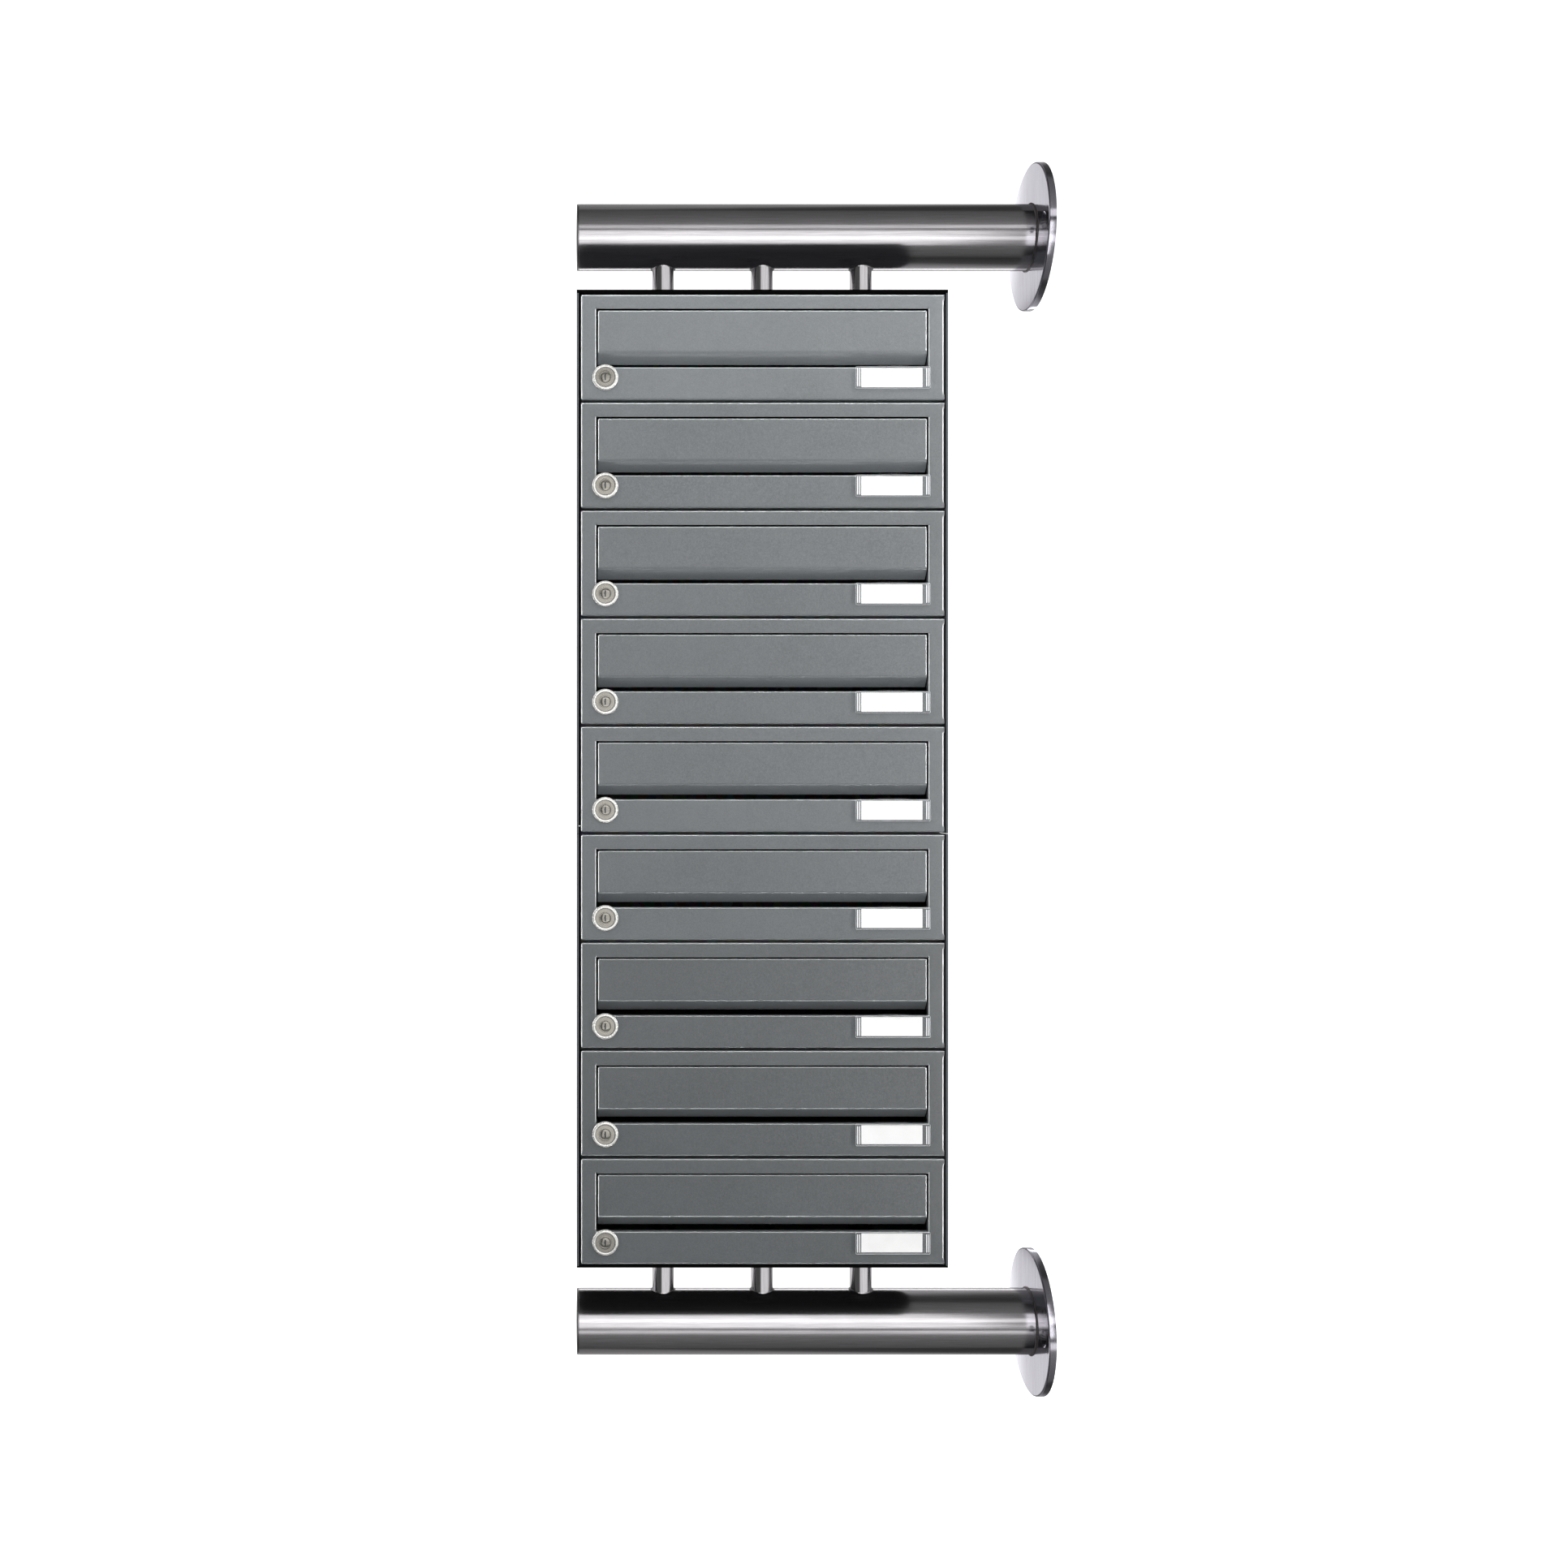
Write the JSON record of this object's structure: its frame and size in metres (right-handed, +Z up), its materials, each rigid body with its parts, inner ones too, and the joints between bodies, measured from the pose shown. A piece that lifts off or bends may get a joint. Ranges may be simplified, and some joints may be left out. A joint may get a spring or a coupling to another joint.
{
  "type": "cluster mailbox unit",
  "caption": "Wall-hung stack of horizontal letterboxes with locking doors and letter flaps, in a sheet cladding carried between two side-fixed tubes.",
  "frame": {"origin": "on the wall plane, at the centre of the pattern of four wall screws, midway between the two tubes", "axes": "+X into the wall along the tubes, +Y to the back of the boxes, +Z up; the doors face -Y"},
  "size_m": [0.506, 0.273, 1.351],
  "materials": {
    "cladding_paint": "fine-texture powder coat, matt grey",
    "door_paint": "fine-texture powder coat, matt grey",
    "flap_paint": "fine-texture powder coat, matt grey",
    "box_sheet": "thin grey coat on galvanised sheet",
    "tube_steel": "brushed along the tube",
    "flange_steel": "brushed, rounded rim",
    "sleeve_steel": "turned and brushed",
    "cap_steel": "brushed cap",
    "zinc_hardware": "bright zinc plate",
    "lock_chrome": "satin chrome plate",
    "plug_nickel": "nickel plate",
    "black_rubber": "matt",
    "black_trim": "matt extruded trim",
    "clear_holder": "clear moulded holder over a blank white card"
  },
  "bodies": {
    "carrier": {"back_panels": "cladding_paint", "door_buffers": "black_rubber", "door_hinge_pins": "zinc_hardware", "edge_trims": "black_trim", "hanger_bolts": "zinc_hardware", "hanger_washers": "zinc_hardware", "letterbox_bodies": "box_sheet", "lower_casing": "cladding_paint", "lower_tube": "tube_steel", "lower_wall_flange": "flange_steel", "spacer_sleeves": "sleeve_steel", "tube_end_caps": "cap_steel", "upper_casing": "cladding_paint", "upper_tube": "tube_steel", "upper_wall_flange": "flange_steel"},
    "door_body_1": {"door_1": "door_paint", "lock_housing_1": "lock_chrome", "name_plate_1": "clear_holder"},
    "flap_body_1": {"flap_1": "flap_paint"},
    "lock_body_1": {"lock_core_1": "plug_nickel"},
    "door_body_2": {"door_2": "door_paint", "lock_housing_2": "lock_chrome", "name_plate_2": "clear_holder"},
    "flap_body_2": {"flap_2": "flap_paint"},
    "lock_body_2": {"lock_core_2": "plug_nickel"},
    "door_body_3": {"door_3": "door_paint", "lock_housing_3": "lock_chrome", "name_plate_3": "clear_holder"},
    "flap_body_3": {"flap_3": "flap_paint"},
    "lock_body_3": {"lock_core_3": "plug_nickel"},
    "door_body_4": {"door_4": "door_paint", "lock_housing_4": "lock_chrome", "name_plate_4": "clear_holder"},
    "flap_body_4": {"flap_4": "flap_paint"},
    "lock_body_4": {"lock_core_4": "plug_nickel"},
    "door_body_5": {"door_5": "door_paint", "lock_housing_5": "lock_chrome", "name_plate_5": "clear_holder"},
    "flap_body_5": {"flap_5": "flap_paint"},
    "lock_body_5": {"lock_core_5": "plug_nickel"},
    "door_body_6": {"door_6": "door_paint", "lock_housing_6": "lock_chrome", "name_plate_6": "clear_holder"},
    "flap_body_6": {"flap_6": "flap_paint"},
    "lock_body_6": {"lock_core_6": "plug_nickel"},
    "door_body_7": {"door_7": "door_paint", "lock_housing_7": "lock_chrome", "name_plate_7": "clear_holder"},
    "flap_body_7": {"flap_7": "flap_paint"},
    "lock_body_7": {"lock_core_7": "plug_nickel"},
    "door_body_8": {"door_8": "door_paint", "lock_housing_8": "lock_chrome", "name_plate_8": "clear_holder"},
    "flap_body_8": {"flap_8": "flap_paint"},
    "lock_body_8": {"lock_core_8": "plug_nickel"},
    "door_body_9": {"door_9": "door_paint", "lock_housing_9": "lock_chrome", "name_plate_9": "clear_holder"},
    "flap_body_9": {"flap_9": "flap_paint"},
    "lock_body_9": {"lock_core_9": "plug_nickel"}
  },
  "joints": [
    {"name": "door_hinge_1", "type": "hinge", "parent": "carrier", "child": "door_body_1", "pos_m": [-0.136, -0.13, 0.44], "axis": [0, 0, 1], "range_deg": [0, 100]},
    {"name": "flap_hinge_1", "type": "hinge", "parent": "door_body_1", "child": "flap_body_1", "pos_m": [-0.317, -0.131, 0.47145], "axis": [-1, 0, 0], "range_deg": [0, 75]},
    {"name": "lock_turn_1", "type": "hinge", "parent": "door_body_1", "child": "lock_body_1", "pos_m": [-0.477, -0.135, 0.40895], "axis": [0, 1, 0], "range_deg": [0, 90]},
    {"name": "door_hinge_2", "type": "hinge", "parent": "carrier", "child": "door_body_2", "pos_m": [-0.136, -0.13, 0.33], "axis": [0, 0, 1], "range_deg": [0, 100]},
    {"name": "flap_hinge_2", "type": "hinge", "parent": "door_body_2", "child": "flap_body_2", "pos_m": [-0.317, -0.131, 0.36145], "axis": [-1, 0, 0], "range_deg": [0, 75]},
    {"name": "lock_turn_2", "type": "hinge", "parent": "door_body_2", "child": "lock_body_2", "pos_m": [-0.477, -0.135, 0.29895], "axis": [0, 1, 0], "range_deg": [0, 90]},
    {"name": "door_hinge_3", "type": "hinge", "parent": "carrier", "child": "door_body_3", "pos_m": [-0.136, -0.13, 0.22], "axis": [0, 0, 1], "range_deg": [0, 100]},
    {"name": "flap_hinge_3", "type": "hinge", "parent": "door_body_3", "child": "flap_body_3", "pos_m": [-0.317, -0.131, 0.25145], "axis": [-1, 0, 0], "range_deg": [0, 75]},
    {"name": "lock_turn_3", "type": "hinge", "parent": "door_body_3", "child": "lock_body_3", "pos_m": [-0.477, -0.135, 0.18895], "axis": [0, 1, 0], "range_deg": [0, 90]},
    {"name": "door_hinge_4", "type": "hinge", "parent": "carrier", "child": "door_body_4", "pos_m": [-0.136, -0.13, 0.11], "axis": [0, 0, 1], "range_deg": [0, 100]},
    {"name": "flap_hinge_4", "type": "hinge", "parent": "door_body_4", "child": "flap_body_4", "pos_m": [-0.317, -0.131, 0.14145], "axis": [-1, 0, 0], "range_deg": [0, 75]},
    {"name": "lock_turn_4", "type": "hinge", "parent": "door_body_4", "child": "lock_body_4", "pos_m": [-0.477, -0.135, 0.07895], "axis": [0, 1, 0], "range_deg": [0, 90]},
    {"name": "door_hinge_5", "type": "hinge", "parent": "carrier", "child": "door_body_5", "pos_m": [-0.136, -0.13, 0], "axis": [0, 0, 1], "range_deg": [0, 100]},
    {"name": "flap_hinge_5", "type": "hinge", "parent": "door_body_5", "child": "flap_body_5", "pos_m": [-0.317, -0.131, 0.03145], "axis": [-1, 0, 0], "range_deg": [0, 75]},
    {"name": "lock_turn_5", "type": "hinge", "parent": "door_body_5", "child": "lock_body_5", "pos_m": [-0.477, -0.135, -0.03105], "axis": [0, 1, 0], "range_deg": [0, 90]},
    {"name": "door_hinge_6", "type": "hinge", "parent": "carrier", "child": "door_body_6", "pos_m": [-0.136, -0.13, -0.11], "axis": [0, 0, 1], "range_deg": [0, 100]},
    {"name": "flap_hinge_6", "type": "hinge", "parent": "door_body_6", "child": "flap_body_6", "pos_m": [-0.317, -0.131, -0.07855], "axis": [-1, 0, 0], "range_deg": [0, 75]},
    {"name": "lock_turn_6", "type": "hinge", "parent": "door_body_6", "child": "lock_body_6", "pos_m": [-0.477, -0.135, -0.14105], "axis": [0, 1, 0], "range_deg": [0, 90]},
    {"name": "door_hinge_7", "type": "hinge", "parent": "carrier", "child": "door_body_7", "pos_m": [-0.136, -0.13, -0.22], "axis": [0, 0, 1], "range_deg": [0, 100]},
    {"name": "flap_hinge_7", "type": "hinge", "parent": "door_body_7", "child": "flap_body_7", "pos_m": [-0.317, -0.131, -0.18855], "axis": [-1, 0, 0], "range_deg": [0, 75]},
    {"name": "lock_turn_7", "type": "hinge", "parent": "door_body_7", "child": "lock_body_7", "pos_m": [-0.477, -0.135, -0.25105], "axis": [0, 1, 0], "range_deg": [0, 90]},
    {"name": "door_hinge_8", "type": "hinge", "parent": "carrier", "child": "door_body_8", "pos_m": [-0.136, -0.13, -0.33], "axis": [0, 0, 1], "range_deg": [0, 100]},
    {"name": "flap_hinge_8", "type": "hinge", "parent": "door_body_8", "child": "flap_body_8", "pos_m": [-0.317, -0.131, -0.29855], "axis": [-1, 0, 0], "range_deg": [0, 75]},
    {"name": "lock_turn_8", "type": "hinge", "parent": "door_body_8", "child": "lock_body_8", "pos_m": [-0.477, -0.135, -0.36105], "axis": [0, 1, 0], "range_deg": [0, 90]},
    {"name": "door_hinge_9", "type": "hinge", "parent": "carrier", "child": "door_body_9", "pos_m": [-0.136, -0.13, -0.44], "axis": [0, 0, 1], "range_deg": [0, 100]},
    {"name": "flap_hinge_9", "type": "hinge", "parent": "door_body_9", "child": "flap_body_9", "pos_m": [-0.317, -0.131, -0.40855], "axis": [-1, 0, 0], "range_deg": [0, 75]},
    {"name": "lock_turn_9", "type": "hinge", "parent": "door_body_9", "child": "lock_body_9", "pos_m": [-0.477, -0.135, -0.47105], "axis": [0, 1, 0], "range_deg": [0, 90]}
  ]
}
